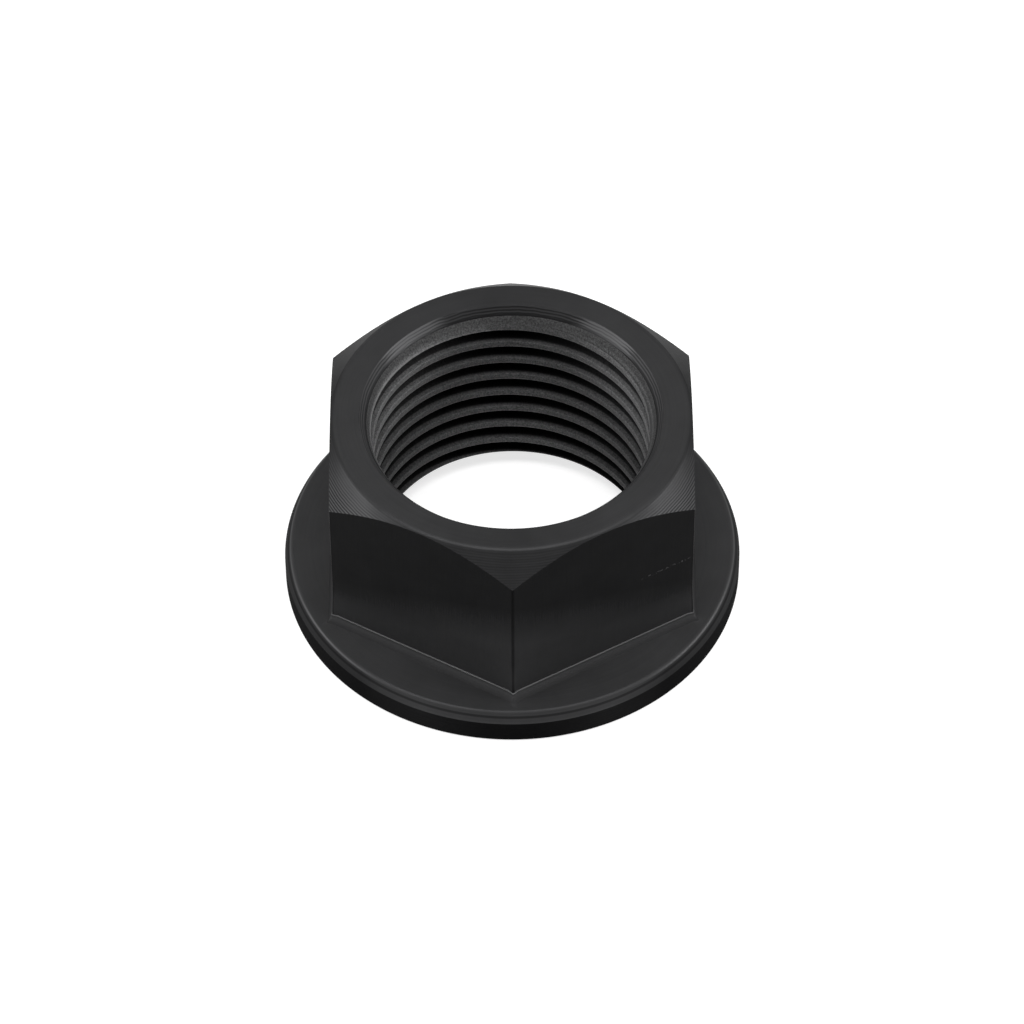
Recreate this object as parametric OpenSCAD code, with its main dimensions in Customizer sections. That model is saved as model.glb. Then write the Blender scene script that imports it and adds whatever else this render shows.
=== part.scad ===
// Flanged hexagon nut for a hollow wheel axle. It is one piece, turned, threaded and
// milled from a bar of aluminium alloy and black anodised.
// The nut stands on its bearing face, centred on the Z axis, with one flat facing +X.

/* [Hexagon] */
// Width across the flats, which is the spanner's size
across_flats = 30; // [28.5:0.5:34]
// Overall height, from the bearing face to the top face
nut_height = 19; // [15:0.5:26]
// Distance from the flats in to the edge of the top face
top_face_inset = 0.2; // [0:0.05:0.6]
// Slope of the turned chamfer across the corners, down from the top face
corner_chamfer_angle = 42; // [25:1:50]
// Radius between the top face and the corner chamfer
top_edge_r = 0.8; // [0.2:0.1:1.2]

/* [Flange] */
// Distance from the hexagon's corners out to the flange's rim
rim_margin = 2.05; // [1.6:0.01:6]
// Thickness of the flange
flange_h = 3.5; // [2.4:0.1:6]
// Chamfer on the rim's upper edge
rim_chamfer = 0.45; // [0.2:0.05:1]
// Chamfer on the rim's lower edge
rim_break = 0.3; // [0.1:0.1:0.6]
// Radius in the corner between the flats and the flange
root_r = 0.3; // [0.1:0.1:0.6]

/* [Corner flares] */
// How far each corner flares out where it meets the flange
flare_out = 0.28; // [0.1:0.02:0.4]
// How far the flare reaches along each flat from the corner
flare_w = 0.45; // [0.3:0.05:0.8]
// Height of the flare above the flange
flare_h = 3.8; // [2:0.2:6]

/* [Thread] */
// Major diameter of the thread
thread_d = 25; // [22:0.5:26]
// Pitch of the thread
pitch = 2; // [1.25:0.25:2.5]
// Angle round the axis at which the groove starts at the bearing face
groove_start_angle = 36; // [0:1:359]
// Angle over which the groove fades out below the top countersink
fade_angle = 75; // [45:15:120]
// Facets in each turn of the groove
facets_per_turn = 48; // [36:12:60]

/* [Countersinks] */
// How much wider the top countersink's mouth is than the thread
mouth_over = 0.2; // [0.1:0.1:1]
// Depth of the top countersink's upper cone
mouth_drop = 0.75; // [0.3:0.05:0.8]
// Slope of the upper cone
mouth_angle = 52; // [45:1:60]
// Slope of the lower cone, which runs down to the thread's crests
throat_angle = 66; // [50:1:75]
// How much wider the bottom countersink's mouth is than the thread
base_mouth_over = 1.6; // [0.4:0.1:3]

/* [Hidden] */
black_anodised = [0.05, 0.05, 0.055];
$fn = 128;
// Overlap of joined solids and overshoot of cuts
lap = 0.5;
arc_steps = 8;

corner_r = across_flats / sqrt(3);
flange_r = corner_r + rim_margin;
top_face_r = across_flats / 2 - top_face_inset;

// A 60 degree thread with a flat of an eighth of the pitch at the bottom of its groove
flank_angle = 30;
thread_r = thread_d / 2;
crest_r = thread_r - pitch / 2;
root_flat = pitch / 8;

// The top countersink's two cones, and the bottom one's 45 degree cone
mouth_r = thread_r + mouth_over / 2;
throat_r = mouth_r - mouth_drop / tan(mouth_angle);
throat_h = (throat_r - crest_r) * tan(throat_angle);
crest_top = nut_height - mouth_drop - throat_h;
base_mouth_r = thread_r + base_mouth_over / 2;
base_mouth_h = base_mouth_r - crest_r;

flange_nut();

// Points of an arc in the turned profile's plane, counted from angle a to angle b
function arc(centre, r, a, b) =
    [for (i = [0:arc_steps]) let (t = a + (b - a) * i / arc_steps)
        centre + r * [cos(t), sin(t)]];

module flange_nut() {
    color(black_anodised)
    difference() {
        union() {
            hexagon();
            flange();
            root_fillet();
            corner_flares();
        }
        bore();
        thread_groove();
    }
}

// The hexagon's corners sit at 30, 90 and 150 degrees and opposite them
module hexagonal(h, inset_low = 0, inset_high = 0) {
    rotate([0, 0, 30])
    cylinder(h = h, r1 = corner_r - inset_low / cos(30),
             r2 = corner_r - inset_high / cos(30), $fn = 6);
}

// Milled flats, with the corners turned off by the chamfer
module hexagon() {
    intersection() {
        translate([0, 0, flange_h - lap])
        hexagonal(nut_height - flange_h + lap);
        turned_top();
    }
}

// The turned blank: a flat top face, a soft edge, then the chamfer down past the corners
module turned_top() {
    edge_run = top_edge_r * tan(corner_chamfer_angle / 2);
    edge_centre = [top_face_r - edge_run, nut_height - top_edge_r];
    outer_r = flange_r + lap;
    outer_z = nut_height - (outer_r - top_face_r) * tan(corner_chamfer_angle);
    rotate_extrude()
    polygon(concat(
        [[0, 0], [outer_r, 0], [outer_r, outer_z]],
        arc(edge_centre, top_edge_r, 90 - corner_chamfer_angle, 90),
        [[0, nut_height]]
    ));
}

// The bearing flange, with both edges of its rim broken
module flange() {
    rotate_extrude()
    polygon([
        [0, 0],
        [flange_r - rim_break, 0],
        [flange_r, rim_break],
        [flange_r, flange_h - rim_chamfer],
        [flange_r - rim_chamfer, flange_h],
        [0, flange_h]
    ]);
}

// A hollow curve all round the foot of the flats, as a stack of thin tapers
module root_fillet() {
    steps = 3;
    for (i = [0:steps - 1]) {
        a = 90 * i / steps;
        b = 90 * (i + 1) / steps;
        low = root_r * (1 - cos(a));
        high = root_r * (1 - cos(b));
        translate([0, 0, flange_h + low])
        hexagonal(high - low, -root_r * (1 - sin(a)), -root_r * (1 - sin(b)));
    }
    translate([0, 0, flange_h - lap])
    hexagonal(lap, -root_r, -root_r);
}

// The slight flare of each corner into the flange: two slim facets that start at a point
// on the corner and widen down to the flange. Their planes run on inside the nut, so each
// flare is a tetrahedron sunk into the corner.
module corner_flares() {
    low = -0.1;
    high = 1.2;
    spread = 1.5;
    tip = ridge(high);
    heel = ridge(low);
    sides = [for (s = [1, -1]) heel + spread * (flat_line(low, s) - heel)];
    for (a = [30:60:330])
    rotate([0, 0, a])
    polyhedron(
        points = [heel, sides[0], sides[1], tip],
        faces = [[0, 1, 2], [0, 3, 1], [1, 3, 2], [2, 3, 0]]
    );
}

// Along the flare's outer edge, and along its edge on a flat, from the flange (t = 0) to
// the point where they meet on the hexagon's corner (t = 1)
function ridge(t) = [corner_r + flare_out * (1 - t), 0, flange_h + flare_h * t];
function flat_line(t, side) =
    [corner_r, 0, flange_h + flare_h * t]
    + (1 - t) * flare_w * [-sin(30), side * cos(30), 0];

// The hole at the crests' diameter, opened out by a countersink at each end
module bore() {
    rotate_extrude()
    polygon([
        [0, -lap],
        [base_mouth_r + lap, -lap],
        [crest_r, base_mouth_h],
        [crest_r, crest_top],
        [throat_r, nut_height - mouth_drop],
        [mouth_r, nut_height],
        [mouth_r, nut_height + lap],
        [0, nut_height + lap]
    ]);
}

// The right-hand thread: one groove swept up the bore from a pitch below the nut, so that
// it starts in the bottom countersink. Where the top countersink begins, its cutter is
// drawn out of the metal little by little, and both upper cones stay whole.
module thread_groove() {
    reach = 0.15;
    half_root = root_flat / 2;
    half_mouth = half_root + (pitch / 2 + reach) * tan(flank_angle);
    section = [
        [crest_r - reach, -half_mouth],
        [thread_r, -half_root],
        [thread_r, half_root],
        [crest_r - reach, half_mouth]
    ];
    sides = len(section);
    full_steps = ceil((crest_top / pitch + 1) * facets_per_turn);
    fade_steps = ceil(facets_per_turn * fade_angle / 360);
    steps = full_steps + fade_steps;
    drawn_out = pitch / 2 + reach;
    points = [
        for (i = [0:steps], p = section)
            let (a = 360 * i / facets_per_turn,
                 r = p.x - drawn_out * max(0, i - full_steps) / fade_steps)
            [r * cos(a), r * sin(a), p.y + pitch * (i / facets_per_turn - 1)]
    ];
    walls = [
        for (i = [0:steps - 1], j = [0:sides - 1])
            let (k = (j + 1) % sides, low = i * sides, high = low + sides)
            each [[low + j, low + k, high + k], [low + j, high + k, high + j]]
    ];
    ends = [
        [for (j = [sides - 1:-1:0]) j],
        [for (j = [0:sides - 1]) steps * sides + j]
    ];
    rotate([0, 0, groove_start_angle])
    polyhedron(points = points, faces = concat(walls, ends), convexity = 12);
}
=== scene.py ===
# A black anodised flange nut for a hollow wheel axle. It stands on its bearing face on a
# pale floor, centred on the Z axis, with one flat facing +X.
import math

import bpy
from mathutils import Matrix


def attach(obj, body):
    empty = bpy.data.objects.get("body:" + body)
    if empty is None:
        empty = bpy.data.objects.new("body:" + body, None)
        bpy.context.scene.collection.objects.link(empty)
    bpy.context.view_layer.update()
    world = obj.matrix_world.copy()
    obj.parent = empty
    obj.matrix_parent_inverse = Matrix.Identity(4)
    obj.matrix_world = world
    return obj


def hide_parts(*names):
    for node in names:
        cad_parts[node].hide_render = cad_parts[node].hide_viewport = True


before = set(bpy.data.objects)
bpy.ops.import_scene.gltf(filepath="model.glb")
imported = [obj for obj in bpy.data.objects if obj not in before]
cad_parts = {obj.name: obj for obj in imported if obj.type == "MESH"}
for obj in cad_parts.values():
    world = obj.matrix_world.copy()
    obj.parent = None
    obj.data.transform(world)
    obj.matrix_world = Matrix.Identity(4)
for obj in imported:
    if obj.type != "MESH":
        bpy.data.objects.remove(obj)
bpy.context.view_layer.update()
mm = 0.001

# The nut's hexagon. Six flats are milled on the turned bar of aluminium alloy, 30 mm
# across. The cutter leaves fine upright marks on them and a hollow curve at their foot,
# and each corner flares out a little into the flange.
across_flats = 30
nut_height = 19
flange_h = 3.15
foot_r = 0.7
foot_reach = 0.42
foot_top = 3.9
foot_ledge = 0.1
corner_flare = 0.14
flare_reach = 0.45
flare_top = 7.3
corner_edge = 0.09
corner_r = across_flats / math.sqrt(3)
spare = 0.6


class Wire:
    """A socket in a finish. Sums on wires add their Math nodes."""

    def __init__(self, finish, socket):
        self.finish = finish
        self.socket = socket

    def maths(self, operation, *values):
        values = dict(enumerate(values or [self]))
        return self.finish.node("ShaderNodeMath", {"operation": operation}, values)

    def __add__(self, other):
        return self.maths("ADD", self, other)

    def __sub__(self, other):
        return self.maths("SUBTRACT", self, other)

    def __rsub__(self, other):
        return self.maths("SUBTRACT", other, self)

    def __mul__(self, other):
        return self.maths("MULTIPLY", self, other)

    def __truediv__(self, other):
        return self.maths("DIVIDE", self, other)

    def __pow__(self, other):
        return self.maths("POWER", self, other)

    __radd__ = __add__
    __rmul__ = __mul__

    def size(self):
        """How far it is from 0."""
        return self.maths("ABSOLUTE")

    def step(self, low, high):
        """0 at low and 1 at high, and straight between them."""
        return self.finish.node(
            "ShaderNodeMapRange", {"clamp": True}, {"Value": self, "From Min": low, "From Max": high}
        )


class Finish:
    """A material made of nodes, which measures in millimetres on the nut."""

    def __init__(self, name):
        self.material = bpy.data.materials.new(name)
        self.material.use_nodes = True
        self.tree = self.material.node_tree
        self.shader = self.tree.nodes["Principled BSDF"]

    def node(self, kind, settings=None, sockets=None, out=0):
        made = self.tree.nodes.new(kind)
        for name, value in (settings or {}).items():
            setattr(made, name, value)
        for name, value in (sockets or {}).items():
            self.join(made.inputs[name], value)
        return Wire(self, made.outputs[out])

    def join(self, socket, value):
        if isinstance(value, Wire):
            self.tree.links.new(value.socket, socket)
        else:
            socket.default_value = value

    def place(self):
        """The point on the nut in millimetres: x, y and z."""
        point = self.node("ShaderNodeTexCoord", out="Object")
        point = self.node("ShaderNodeVectorMath", {"operation": "SCALE"}, {0: point, "Scale": 1000.0})
        return [self.node("ShaderNodeSeparateXYZ", None, {0: point}, out=i) for i in range(3)]

    def grain(self, x, y, z, scale, detail=2.0, roughness=0.5):
        """Noise from 0 to 1, mostly near a half, stretched by what x, y and z are times."""
        vector = self.node("ShaderNodeCombineXYZ", None, {0: x, 1: y, 2: z})
        return self.node(
            "ShaderNodeTexNoise",
            {"noise_dimensions": "3D"},
            {"Vector": vector, "Scale": scale, "Detail": detail, "Roughness": roughness},
        )

    def black_anodised(self, tone, gloss, relief, depth, palest=0.088):
        """The dyed oxide layer: its tone from 0 to 1, its roughness and its relief in mm."""
        colour = self.node(
            "ShaderNodeMix",
            {"data_type": "RGBA"},
            {0: tone, 6: (0.002, 0.002, 0.0022, 1), 7: (palest, palest, palest + 0.002, 1)},
            out=2,
        )
        bump = {"Height": relief, "Distance": depth * mm, "Strength": 1.0}
        self.join(self.shader.inputs["Base Color"], colour)
        self.join(self.shader.inputs["Roughness"], gloss)
        self.join(self.shader.inputs["Normal"], self.node("ShaderNodeBump", None, bump))
        self.shader.inputs["Metallic"].default_value = 0.3
        self.shader.inputs["Specular IOR Level"].default_value = 0.03
        self.shader.inputs["Specular Tint"].default_value = (0.05, 0.05, 0.05, 1)


# The cutter's strokes run up the flats, and the dye sits a little unevenly
milled = Finish("milled_black")
x, y, z = milled.place()
strokes = milled.grain(x * 8, y * 8, z * 0.3, 1.0, 3.0, 0.65)
cloud = milled.grain(x, y, z, 0.35, 3.0, 0.55)

# A faint row of nicks crosses the front right flat. Along runs along that flat, and outward
# is the distance from the axis square to it.
nick_height = 10.95
along = x * 0.866 + y * 0.5
outward = x * 0.5 - y * 0.866
dots = milled.grain(along * 3.4, z * 3.4, 0.0, 1.0, 1.0, 0.5).step(0.52, 0.6)
wobble = (milled.grain(along, 0.0, 0.0, 1.3) - 0.5) * 0.25
row = (z - nick_height - wobble).size().step(0.12, 0.06)
nicks = row * dots * along.step(3.4, 4.2) * along.step(8.6, 7.8) * outward.step(14.8, 14.9)

# The flats grow paler downwards, a painted reflection that stands in for what they mirror of
# the studio. The corner edges carry painted shade, a thin painted highlight runs round the top
# of the foot's curve, and the curve is painted paler above and darker below.
above = z - foot_top
flare = corner_flare * z.step(flare_top, foot_top)
painted_corner_shade = ((x * x + y * y) ** 0.5 - flare).step(17.22, 17.28) * above.step(0, 0.1)
painted_foot_highlight = above.step(0.05, 0.01) * above.step(-0.06, -0.035)
painted_foot_light_shade = 0.25 * above.step(-0.06, -0.1) - 0.4 * above.step(-0.3, -0.7)
painted_lower_reflection = (z + 0.4 * x.size()).step(14.2, 9.8)
# The tone carries the painted reflection low on the flats. The colour below adds painted shade at the
# corner edges and painted light and shade on the foot.
tone = 0.04 + 0.06 * strokes + 0.06 * cloud + 0.21 * painted_lower_reflection + 0.15 * z.step(7.5, 4)
milled.black_anodised(
    tone=tone * (1 - 0.6 * painted_corner_shade) + 0.7 * nicks + 0.4 * painted_foot_highlight + painted_foot_light_shade,
    gloss=0.34 + 0.08 * strokes + 0.4 * above.step(-0.2, -0.5),
    relief=strokes - 3 * nicks,
    depth=0.006,
)


def pick(piece, kind, wanted):
    """Selects the vertices by place, the edges by their two ends, or the faces by centre and normal."""
    bpy.ops.object.mode_set(mode="EDIT")
    bpy.ops.mesh.select_mode(type=kind)
    bpy.ops.mesh.select_all(action="DESELECT")
    bpy.ops.object.mode_set(mode="OBJECT")
    mesh = piece.data
    if kind == "VERT":
        for vertex in mesh.vertices:
            vertex.select = wanted(vertex.co)
    elif kind == "EDGE":
        for edge in mesh.edges:
            edge.select = wanted(*(mesh.vertices[i].co for i in edge.vertices))
    else:
        for face in mesh.polygons:
            face.select = wanted(face.center, face.normal)
    bpy.ops.object.mode_set(mode="EDIT")


bpy.ops.object.select_all(action="DESELECT")
bar_top = nut_height + spare
bpy.ops.mesh.primitive_cylinder_add(
    vertices=6,
    radius=corner_r * mm,
    depth=(bar_top - flare_top) * mm,
    location=(0, 0, (bar_top + flare_top) / 2 * mm),
)
nut = bpy.context.object
nut.name = nut.data.name = "nut_body"
bpy.ops.object.transform_apply(location=True, rotation=True, scale=True)

# Each upright edge is split in three, so that only the strip at the corner flares, and the
# corner itself is rounded
pick(nut, "EDGE", lambda a, b: abs(a.z - b.z) > mm)
bpy.ops.mesh.bevel(offset=flare_reach * mm, segments=2, profile=1.0, affect="EDGES")
at_corner = (corner_r - 0.02) * mm
pick(nut, "EDGE", lambda a, b: abs(a.z - b.z) > mm and min(a.xy.length, b.xy.length) > at_corner)
bpy.ops.mesh.bevel(offset=corner_edge * mm, segments=3, profile=0.5, affect="EDGES")


def lower_end(depth):
    """Pushes the end of the bar down by a depth in millimetres."""
    pick(nut, "FACE", lambda c, n: n.z < -0.9 and c.z < (flare_top + 0.1) * mm)
    bpy.ops.mesh.extrude_region_move(TRANSFORM_OT_translate={"value": (0, 0, -depth * mm)})


# Down to the foot the corners spread, and from there on the whole section does
level, spread = flare_top, 0.0
flare_steps = 6
for step in range(1, flare_steps + 1):
    lower = flare_top + (foot_top - flare_top) * step / flare_steps
    wider = corner_flare * (step / flare_steps) ** 1.3
    lower_end(level - lower)
    near_corner = (corner_r - 0.12 + spread) * mm
    pick(nut, "VERT", lambda v: abs(v.z - lower * mm) < 0.01 * mm and v.xy.length > near_corner)
    grow = (corner_r + wider) / (corner_r + spread)
    bpy.ops.transform.resize(value=(grow, grow, 1), center_override=(0, 0, 0))
    level, spread = lower, wider
foot = [(foot_ledge, foot_top - 0.03)]
for angle in range(12, 85, 12):
    a = math.radians(angle)
    foot.append((foot_ledge + foot_reach * (1 - math.cos(a)), flange_h + foot_r * (1 - math.sin(a))))
foot += [(foot_ledge + foot_reach, flange_h - 0.02), (foot_ledge + foot_reach, flange_h - 0.6)]
spread = 0.0
for wider, lower in foot:
    lower_end(level - lower)
    grow = (across_flats / 2 + wider) / (across_flats / 2 + spread)
    bpy.ops.transform.resize(value=(grow, grow, 1), center_override=(0, 0, 0))
    level, spread = lower, wider
bpy.ops.object.mode_set(mode="OBJECT")
nut.data.materials.append(milled.material)

# The turned top. The lathe faces the end of the bar, rounds its edge, and takes a 42 degree
# chamfer across the hexagon's corners. It opens the hole with two cones, and its tool leaves
# fine rings, which show most on the chamfer and on the upper cone.
top_face_r = 14.8
top_edge_r = 0.8
chamfer = math.radians(42)
mouth_r = 12.6
throat_r, throat_z = 12.014, 18.25
throat_angle = math.radians(66)
crest_r = 11.5
lathe_steps = 240

turned = Finish("turned_black")
x, y, z = turned.place()
radius = (x * x + y * y) ** 0.5
around = y.maths("ARCTAN2", y, x)
normal = turned.node("ShaderNodeNewGeometry", out="Normal")
facing = turned.node("ShaderNodeSeparateXYZ", None, {0: normal}, out=2).size()

# Where a point is: on a cone above the flange, on an upright wall, on the chamfer across the
# corners, in the mouth, at the flange's rim, or away from the front and back. Facing is 1 on
# a level face and 0 on a wall.
sloping = facing.step(0.97, 0.85) * z.step(4, 6)
wall = facing.step(0.2, 0.1)
chamfered = sloping * radius.step(14.5, 14.8)
mouth = radius.step(12.64, 12.58)
rim = radius.step(18.75, 18.85)
aside = (x.size() / radius).step(0.1, 0.6)

# The tool's rings: a coarse, uneven set everywhere, and its even feed on the cones. Their tone is
# painted strongest on the chamfers towards the sides, a painted highlight where lamps catch them.
wander = turned.grain(radius * 0.5, z * 0.5, around * 9, 1.0, 2.0, 0.5)
feed = (radius * 40 + wander * 5).maths("SINE")
rings = turned.grain(radius * 5, z * 5, around * 0.8, 1.0, 3.0, 0.6)
cloud = turned.grain(x, y, z, 0.35, 3.0, 0.55)
tool_rings_and_glints = sloping * feed * (0.12 + 0.88 * aside * radius.step(15.2, 16.4) + 0.5 * mouth) * (0.5 + rings)

# Painted light fixed on the nut, standing in for what its gloss mirrors: painted shade makes the
# flange duller towards the front, two ragged painted highlights lie in the back of the mouth, the
# outer part of each chamfer carries a painted highlight with painted shade on the rest of it
# towards the sides, and painted shadow lies over the back of the mouth.
flange_shade = z.step(4, 3) * (0.2 * y.step(-15, -4) - 0.05)
ragged = around + rings * 0.4 - 0.2
glint = ragged.step(2, 2.15) * ragged.step(2.6, 2.45) + ragged.step(0.6, 0.72) * ragged.step(1.12, 1.02)
painted_chamfer_light_shade = 0.5 * x.size().step(6.5, 9.5) * x.size().step(14.5, 12) - 0.24
painted_mouth_back_shadow = (y / radius).step(0.7, 0.9) * mouth

# A thin dark line lies under the rim's chamfer and under the mouth's upper cone, and the rim below
# its top edge is rougher and carries painted shade all round but at the front
line = z.step(2.6, 2.66) * z.step(2.84, 2.78) * radius.step(18.6, 18.7)
line = line + 1.2 * z.step(18.4, 18.36) * mouth
rough_shaded_rim = z.step(3, 2.9) * rim * (y / radius).step(-0.92, -0.75)

# Painted light: the sides are paler and the rim's chamfer has a painted highlight. Painted shade darkens
# upright walls, less towards the sides, and the chamfers.
tone = 0.24 + 0.08 * rings + 0.12 * cloud + flange_shade + 0.28 * tool_rings_and_glints + 0.08 * aside
tone = (tone + 0.19 * rim * (1 - wall)) * (1 - (0.8 - 0.35 * aside) * wall) * (1 - 0.2 * chamfered)
tone = tone * (1 - 0.5 * line) * (1 - 0.2 * painted_mouth_back_shadow) * (1 + 1.5 * glint * mouth)
turned.black_anodised(
    tone=tone * (1 + chamfered * aside * painted_chamfer_light_shade) * (1 - 0.6 * rough_shaded_rim),
    gloss=0.32 + 0.08 * rings + 0.14 * mouth + 0.38 * wall + 0.3 * rough_shaded_rim,
    relief=rings * 0.6 + 0.02 * feed + 0.13 * tool_rings_and_glints,
    depth=0.015,
)


def outline(name, points):
    """One point is pushed out from place to place along a profile in the XZ plane."""
    bpy.ops.object.select_all(action="DESELECT")
    bpy.ops.mesh.primitive_plane_add(size=mm)
    piece = bpy.context.object
    piece.name = piece.data.name = name
    bpy.ops.object.mode_set(mode="EDIT")
    bpy.ops.mesh.select_mode(type="VERT")
    bpy.ops.mesh.select_all(action="SELECT")
    bpy.ops.mesh.merge(type="CENTER")
    r, z = points[0]
    bpy.ops.transform.translate(value=(r * mm, 0, z * mm))
    for next_r, next_z in points[1:]:
        push = ((next_r - r) * mm, 0, (next_z - z) * mm)
        bpy.ops.mesh.extrude_region_move(TRANSFORM_OT_translate={"value": push})
        r, z = next_r, next_z
    return piece


def close_up(piece, finish):
    """Merges what meets, turns the faces outwards and gives the piece its finish."""
    bpy.ops.mesh.select_all(action="SELECT")
    bpy.ops.mesh.remove_doubles(threshold=0.002 * mm)
    bpy.ops.mesh.normals_make_consistent(inside=False)
    bpy.ops.object.mode_set(mode="OBJECT")
    piece.data.materials.append(finish.material)
    return piece


def turn(name, points, finish):
    """Spins a closed profile round the Z axis, as on the lathe."""
    piece = outline(name, points + points[:1])
    bpy.ops.mesh.select_all(action="SELECT")
    bpy.ops.mesh.spin(steps=lathe_steps, angle=math.tau, center=(0, 0, 0), axis=(0, 0, 1))
    return close_up(piece, finish)


def soften(points, corners):
    """A closed profile with some corners rounded: corners holds {place in the list: (radius, steps)}."""
    made = []
    for i, (r, z) in enumerate(points):
        if i not in corners:
            made.append((r, z))
            continue
        size, steps = corners[i]
        ways = [math.atan2(p[1] - z, p[0] - r) for p in (points[i - 1], points[(i + 1) % len(points)])]
        turn_by = (ways[1] - ways[0] + math.pi) % math.tau - math.pi
        middle, half = ways[0] + turn_by / 2, abs(turn_by) / 2
        away = size / math.sin(half)
        centre = (r + away * math.cos(middle), z + away * math.sin(middle))
        sweep = math.copysign(math.pi - abs(turn_by), -turn_by)
        first = middle + math.pi - sweep / 2
        for k in range(steps + 1):
            angle = first + sweep * k / steps
            made.append((centre[0] + size * math.cos(angle), centre[1] + size * math.sin(angle)))
    return made


# The profile that the top is cut to. It reaches past the corners, down into the flange, and
# inwards past the crests, because the groove's core cuts the hole itself.
blank_r = 19.75
blank_z = 2.2
inner_r = 10.8
blank = [
    (inner_r, blank_z),
    (blank_r, blank_z),
    (blank_r, nut_height - (blank_r - top_face_r) * math.tan(chamfer)),
    (top_face_r, nut_height),
    (mouth_r, nut_height),
    (throat_r, throat_z),
    (inner_r, throat_z - (throat_r - inner_r) * math.tan(throat_angle)),
]
turned_top = turn("turned_top", soften(blank, {3: (top_edge_r, 8), 4: (0.07, 4), 5: (0.12, 2)}), turned)


def combine(piece, other, operation):
    """Joins another solid to the piece, or cuts the piece with it. The other one is used up."""
    joint = piece.modifiers.new(operation.lower(), "BOOLEAN")
    joint.operation = operation
    joint.solver = "EXACT"
    joint.material_mode = "TRANSFER"
    joint.object = other
    bpy.ops.object.select_all(action="DESELECT")
    bpy.context.view_layer.objects.active = piece
    piece.select_set(True)
    bpy.ops.object.modifier_apply(modifier=joint.name)
    bpy.data.objects.remove(other)


combine(nut, turned_top, "INTERSECT")

# The flange that spreads the nut's load, turned in one piece with the hexagon. Its rim is
# broken by a steep chamfer above and a smaller one below, with soft edges, and a 45 degree
# countersink opens the hole from beneath.
flange_r = 19.36
rim_chamfer = 0.55
rim_drop = 0.9
rim_break = 0.2
base_mouth_r = 13.3
collar_inner_r = 10.9
collar = [
    (base_mouth_r, 0),
    (flange_r - rim_break, 0),
    (flange_r, rim_break),
    (flange_r, flange_h - rim_drop),
    (flange_r - rim_chamfer, flange_h),
    (collar_inner_r, flange_h),
    (collar_inner_r, base_mouth_r - collar_inner_r),
]
collar = soften(collar, {0: (0.07, 3), 1: (0.07, 3), 2: (0.07, 3), 3: (0.5, 5), 4: (0.4, 7)})
combine(nut, turn("flange", collar, turned), "UNION")

# The thread, M25 with a pitch of 2 mm, right-handed. One helical groove is cut up the hole
# from the bottom countersink, with flat crests and 60 degree flanks, and the cutter is drawn
# out over 75 degrees where the top countersink begins.
pitch = 2
groove_start = 36
fade_from, fade_angle = 17.1, 75
turns, steps_per_turn = 12, 144
root_half = pitch / 16
crest_half = pitch / 2 - root_half - pitch / 2 * math.tan(math.radians(30))

# Up is the height within one turn, from the middle of the groove: minus half a pitch to half
# a pitch, with the crests at both ends
threaded = Finish("threaded_black")
x, y, z = threaded.place()
specks = threaded.grain(x, y, z, 7.0, 3.0, 0.7).step(0.36, 0.66)
radius = (x * x + y * y) ** 0.5
around = y.maths("ARCTAN2", y, x)
up = (z / pitch - around / math.tau + groove_start / 360 + 0.5).maths("FRACT") * pitch - pitch / 2
crest_edge = pitch / 2 - crest_half
crest = up.size().step(crest_edge - 0.04, crest_edge + 0.02)
painted_crest_highlight = up.step(crest_edge - 0.04, crest_edge) * up.step(crest_edge + 0.16, crest_edge + 0.08)

# The thread is grainy. Painted light makes its crests paler, with a painted highlight along each
# crest's lower edge, and makes both sides paler; painted shadow makes the bottom of the groove
# nearly black. The lower cone of the mouth takes the same finish, painted a little darker, most at
# the sides.
flank = (1 - crest) * z.step(17.6, 17.4)
cone = z.step(17.4, 17.8)
aside = x.size().step(1, 8)
sides = x.size().step(5, 10)
deep = radius.step(11.64 + 0.16 * aside, 11.84 + 0.03 * aside) * flank
# Painted highlight on each crest's lower edge and painted shade on the flanks, painted light at the
# sides, painted shade on the cone and painted shadow deep in the groove.
tone = (0.28 + 0.4 * specks) * (1 + 0.4 * painted_crest_highlight) * (1 - 0.58 * flank)
lit = 1 + 0.75 * sides * z.step(4, 14) * (1 - cone) - (0.22 + 0.14 * sides) * cone
threaded.black_anodised(
    tone=tone * lit * (1 - (0.88 - 0.25 * aside) * deep),
    gloss=0.3 + 0.2 * specks + 0.5 * deep,
    relief=specks,
    depth=0.02,
    palest=0.2,
)

groove = [
    (crest_r, -pitch / 2),
    (crest_r, crest_half - pitch / 2),
    (crest_r + pitch / 2, -root_half),
    (crest_r + pitch / 2, root_half),
    (crest_r, pitch / 2 - crest_half),
    (crest_r, pitch / 2),
]
groove = soften(groove, {1: (0.06, 3), 2: (0.08, 2), 3: (0.08, 2), 4: (0.06, 3)})
low = -pitch * groove_start / 360 - pitch
thread_core = outline("thread_core", [(r, z + low) for r, z in groove])
bpy.ops.object.mode_set(mode="OBJECT")
sweep = thread_core.modifiers.new("sweep", "SCREW")
sweep.axis = "Z"
sweep.angle = math.tau
sweep.screw_offset = pitch * mm
sweep.iterations = turns
sweep.steps = sweep.render_steps = steps_per_turn
bpy.ops.object.modifier_apply(modifier="sweep")

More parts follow.
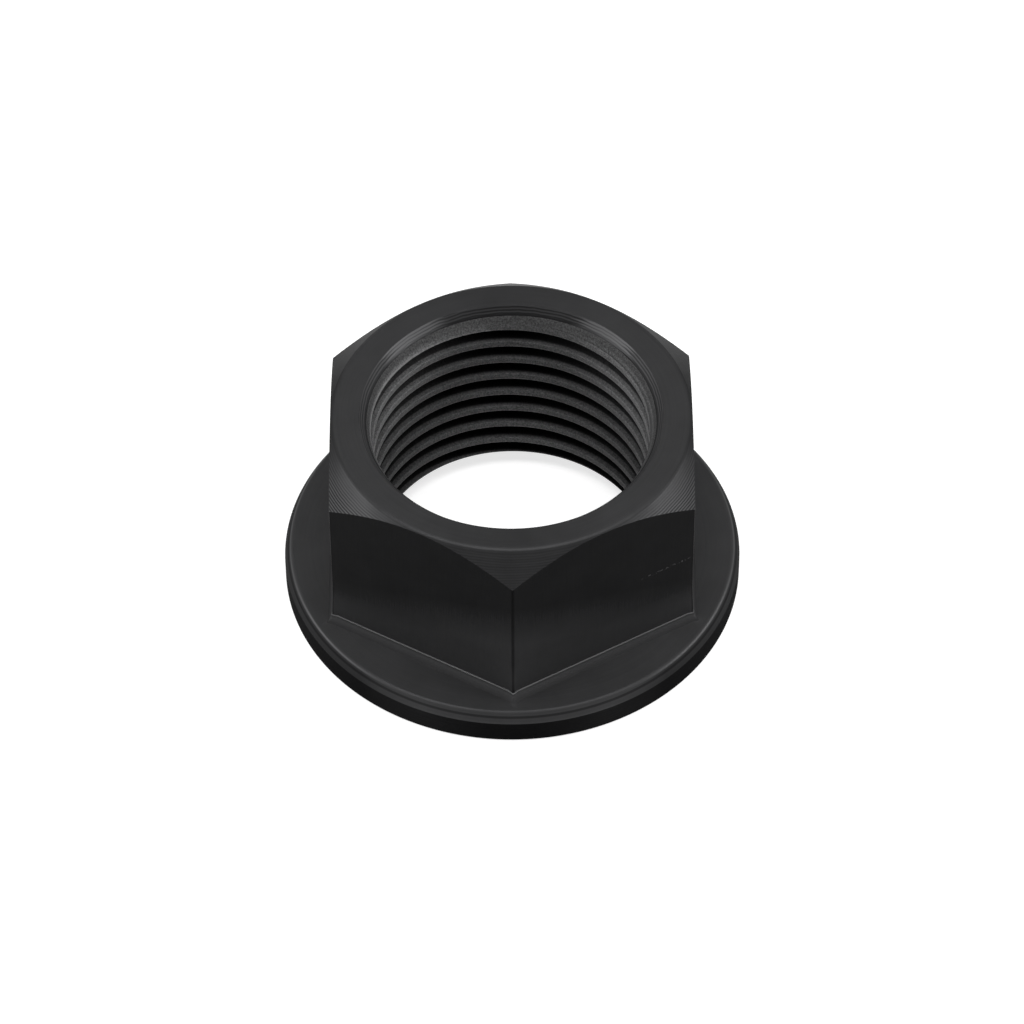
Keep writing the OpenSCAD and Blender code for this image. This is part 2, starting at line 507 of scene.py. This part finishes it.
# The groove's last turn is drawn in to the crests' cylinder, more and more
fading = thread_core.vertex_groups.new(name="fading")
for vertex in thread_core.data.vertices:
    part_turn = math.atan2(vertex.co.y, vertex.co.x) / math.tau - groove_start / 360
    climb = pitch * (round(vertex.co.z / mm / pitch - part_turn) + part_turn)
    faded = (climb - fade_from) / (pitch * fade_angle / 360)
    if faded > 0 and vertex.co.xy.length > (crest_r + 0.001) * mm:
        fading.add([vertex.index], min(faded, 1.0), "REPLACE")
cast = thread_core.modifiers.new("drawn_out", "CAST")
cast.cast_type = "CYLINDER"
cast.factor = 1.0
cast.use_radius_as_size = False
cast.size = crest_r * mm
cast.vertex_group = "fading"
bpy.ops.object.modifier_apply(modifier="drawn_out")
bpy.ops.object.mode_set(mode="EDIT")
for height, cleared in ((-spare, "clear_inner"), (nut_height + spare, "clear_outer")):
    bpy.ops.mesh.select_all(action="SELECT")
    bpy.ops.mesh.remove_doubles(threshold=0.002 * mm)
    plane = {"plane_co": (0, 0, height * mm), "plane_no": (0, 0, 1), cleared: True}
    bpy.ops.mesh.bisect(use_fill=True, threshold=0.0001 * mm, **plane)
close_up(thread_core, threaded)
combine(nut, thread_core, "DIFFERENCE")

# The lower cone of the mouth is as grainy as the thread
pick(nut, "FACE", lambda c, n: c.z > 17 * mm and c.xy.length < throat_r * mm and abs(n.z) < 0.5)
nut.active_material_index = [slot.name for slot in nut.material_slots].index("threaded_black")
bpy.ops.object.material_slot_assign()
bpy.ops.mesh.select_all(action="SELECT")
bpy.ops.mesh.remove_doubles(threshold=0.0005 * mm)
bpy.ops.object.mode_set(mode="OBJECT")
bpy.ops.object.shade_smooth_by_angle(angle=math.radians(28))
even = nut.modifiers.new("even", "WEIGHTED_NORMAL")
even.keep_sharp = True
even.weight = 80
bpy.ops.object.modifier_apply(modifier="even")
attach(nut, "root")
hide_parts("flange_nut")

# The floor: a wide sheet of pale card. It looks white to the camera and in the metal, and
# the nut still darkens it a little where it stands.
bpy.ops.object.select_all(action="DESELECT")
bpy.ops.mesh.primitive_plane_add(size=4)
floor = bpy.context.object
floor.name = "floor"
card = Finish("white_card")
card.shader.inputs["Base Color"].default_value = (0.4, 0.4, 0.4, 1)
card.shader.inputs["Roughness"].default_value = 0.9
card.shader.inputs["Specular IOR Level"].default_value = 0.0
rays = ("Camera", "Glossy", "Transmission")
paths = [card.node("ShaderNodeLightPath", out=f"Is {kind} Ray") for kind in rays]
seen = (paths[0] + paths[1] + paths[2]).step(0, 1)
glow = card.node("ShaderNodeEmission", None, {"Color": (1, 1, 1, 1), "Strength": seen * 0.75})
both = card.node("ShaderNodeAddShader", None, {0: Wire(card, card.shader.outputs[0]), 1: glow})
card.join(card.tree.nodes["Material Output"].inputs["Surface"], both)
floor.data.materials.append(card.material)

# The light: a dim white room, a soft box overhead that leans a little to the front, and a
# smaller one low on each side, which catches the chamfer and the sides of the thread.
world = bpy.data.worlds.new("studio")
bpy.context.scene.world = world
world.use_nodes = True
world.node_tree.nodes["Background"].inputs["Color"].default_value = (1, 1, 1, 1)
world.node_tree.nodes["Background"].inputs["Strength"].default_value = 0.1


def soft_box(name, azimuth, elevation, distance, width, height, watts):
    """A lamp that faces the nut from an azimuth and elevation in degrees."""
    bpy.ops.object.light_add(type="AREA")
    lamp = bpy.context.object
    lamp.name = name
    a, e = math.radians(azimuth), math.radians(elevation)
    way = (math.cos(a) * math.cos(e), math.sin(a) * math.cos(e), math.sin(e))
    lamp.location = [distance * c for c in way]
    lamp.rotation_euler = (math.pi / 2 - e, 0, a + math.pi / 2)
    lamp.data.shape = "RECTANGLE"
    lamp.data.size = width
    lamp.data.size_y = height
    lamp.data.energy = watts


soft_box("overhead", 270, 82, 0.6, 0.7, 0.24, 4.2)
soft_box("left", 180, 22, 0.6, 0.4, 0.15, 2.4)
soft_box("right", 0, 22, 0.6, 0.4, 0.15, 2.4)

# The camera looks down at the nut from the front, 48 degrees above the floor. Its focal
# length is given in pixels of a 1024 pixel frame.
aim_z = 6.82 * mm
distance = 415.44 * mm
tilt = math.radians(48.404)
camera_place = (0, -distance * math.cos(tilt), aim_z + distance * math.sin(tilt))
bpy.ops.object.camera_add(location=camera_place)
camera = bpy.context.object
camera.rotation_mode = "ZXY"
camera.rotation_euler = (math.pi / 2 - tilt, 0, math.radians(-0.383))
camera.data.sensor_width = 36
camera.data.lens = 4915.6 * 36 / 1024
camera.data.clip_start = 0.01
bpy.context.scene.camera = camera
bpy.context.scene.view_settings.view_transform = "Standard"
